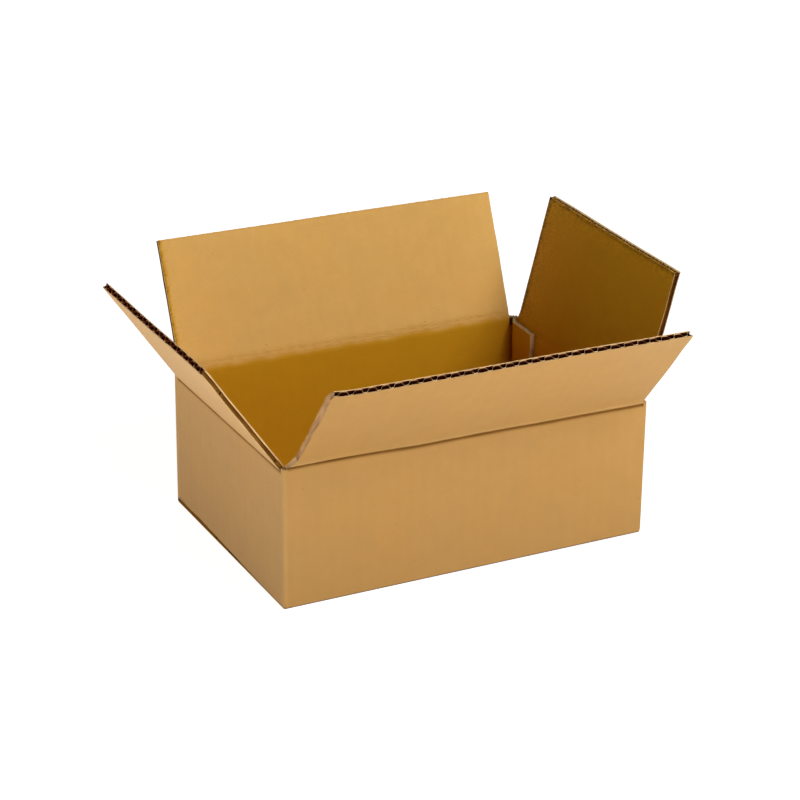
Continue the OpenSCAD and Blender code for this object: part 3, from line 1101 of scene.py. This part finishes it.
def direction(azimuth, elevation):
    """The way from the box to a place at this azimuth from the front and this elevation."""
    around, over = math.radians(azimuth), math.radians(elevation)
    return Vector((-math.sin(around) * math.cos(over), -math.cos(around) * math.cos(over), math.sin(over)))


def make_camera():
    azimuth, roll = math.radians(CAMERA_AZIMUTH), math.radians(CAMERA_ROLL)
    back = direction(CAMERA_AZIMUTH, CAMERA_ELEVATION)
    level = Vector((math.cos(azimuth), -math.sin(azimuth), 0))
    right = Matrix.Rotation(roll, 3, back) @ level
    up = back.cross(right)
    place_at = back * CAMERA_DISTANCE + right * CAMERA_SHIFT[0] + up * CAMERA_SHIFT[1]
    data = bpy.data.cameras.new("camera")
    data.lens = CAMERA_LENS
    camera = add_object("camera", data)
    camera.matrix_world = Matrix.Translation(place_at) @ Matrix((right, up, back)).transposed().to_4x4()
    bpy.context.scene.camera = camera


def area_light(name, azimuth, elevation, distance, size, power):
    """A soft lamp that looks at the box."""
    towards = direction(azimuth, elevation)
    data = bpy.data.lights.new(name, "AREA")
    data.shape = "RECTANGLE"
    data.size, data.size_y = size
    data.energy = power
    lamp = add_object(name, data)
    lamp.location = towards * distance + LAMP_TARGET
    lamp.rotation_euler = towards.to_track_quat("Z", "Y").to_euler()


def seen_by(nodes, links, *rays):
    """1 for light paths of these two kinds."""
    path = nodes.new("ShaderNodeLightPath")
    seen = nodes.new("ShaderNodeMath")
    seen.operation = "MAXIMUM"
    for ray, socket in zip(rays, seen.inputs):
        links.new(path.outputs[ray], socket)
    return seen.outputs[0]


def make_floor():
    """White floor. The camera sees its own brightness with a soft shadow; the box gets its bounce."""
    mesh = bpy.data.meshes.new("studio_floor")
    corners = [(x * FLOOR_SIZE, y * FLOOR_SIZE, 0) for x, y in ((-1, -1), (1, -1), (1, 1), (-1, 1))]
    mesh.from_pydata(corners, [], [(0, 1, 2, 3)])
    floor = add_object("studio_floor", mesh)
    material = bpy.data.materials.new("studio_floor")
    material.use_nodes = True
    nodes, links = material.node_tree.nodes, material.node_tree.links
    nodes.clear()
    output = nodes.new("ShaderNodeOutputMaterial")
    mix = nodes.new("ShaderNodeMixShader")
    links.new(seen_by(nodes, links, "Is Camera Ray", "Is Glossy Ray"), mix.inputs[0])
    where = nodes.new("ShaderNodeNewGeometry")
    distance = nodes.new("ShaderNodeVectorMath")
    distance.operation = "LENGTH"
    links.new(where.outputs["Position"], distance.inputs[0])
    for slot, colour, strength in ((1, FLOOR_BOUNCE, FLOOR_GLOW), (2, FLOOR_SHADOW, FLOOR_WHITE)):
        paper = nodes.new("ShaderNodeBsdfDiffuse")
        paper.inputs["Color"].default_value = (colour, colour, colour, 1)
        glow = nodes.new("ShaderNodeEmission")
        glow.inputs["Strength"].default_value = strength
        if slot == 1:
            for value, socket in ((colour, paper.inputs["Color"]), (strength, glow.inputs["Strength"])):
                spread = nodes.new("ShaderNodeMapRange")
                links.new(distance.outputs["Value"], spread.inputs["Value"])
                for name, limit in zip(("From Min", "From Max"), FLOOR_REACH):
                    spread.inputs[name].default_value = limit
                spread.inputs["To Min"].default_value = FLOOR_NEAR * value
                spread.inputs["To Max"].default_value = value
                links.new(spread.outputs["Result"], socket)
        both = nodes.new("ShaderNodeAddShader")
        links.new(paper.outputs[0], both.inputs[0])
        links.new(glow.outputs[0], both.inputs[1])
        links.new(both.outputs[0], mix.inputs[slot])
    links.new(mix.outputs[0], output.inputs["Surface"])
    mesh.materials.append(material)


def make_world():
    """White backdrop for the camera, with a low even light of its own."""
    world = bpy.data.worlds.new("studio")
    bpy.context.scene.world = world
    world.use_nodes = True
    nodes, links = world.node_tree.nodes, world.node_tree.links
    sky = nodes["Background"]
    sky.inputs["Strength"].default_value = WORLD_LIGHT
    backdrop = nodes.new("ShaderNodeBackground")
    backdrop.inputs["Strength"].default_value = 1.0
    mix = nodes.new("ShaderNodeMixShader")
    links.new(seen_by(nodes, links, "Is Camera Ray", "Is Transmission Ray"), mix.inputs[0])
    links.new(sky.outputs[0], mix.inputs[1])
    links.new(backdrop.outputs[0], mix.inputs[2])
    links.new(mix.outputs[0], nodes["World Output"].inputs["Surface"])


make_camera()
make_floor()
make_world()
for name, lamp in LAMPS.items():
    area_light(name, *lamp)
for side in SIDE_NAMES:
    make_flap(side)
    make_crease(side)
make_walls()
make_bottom()
make_tab()

bpy.context.scene.view_settings.view_transform = "Standard"
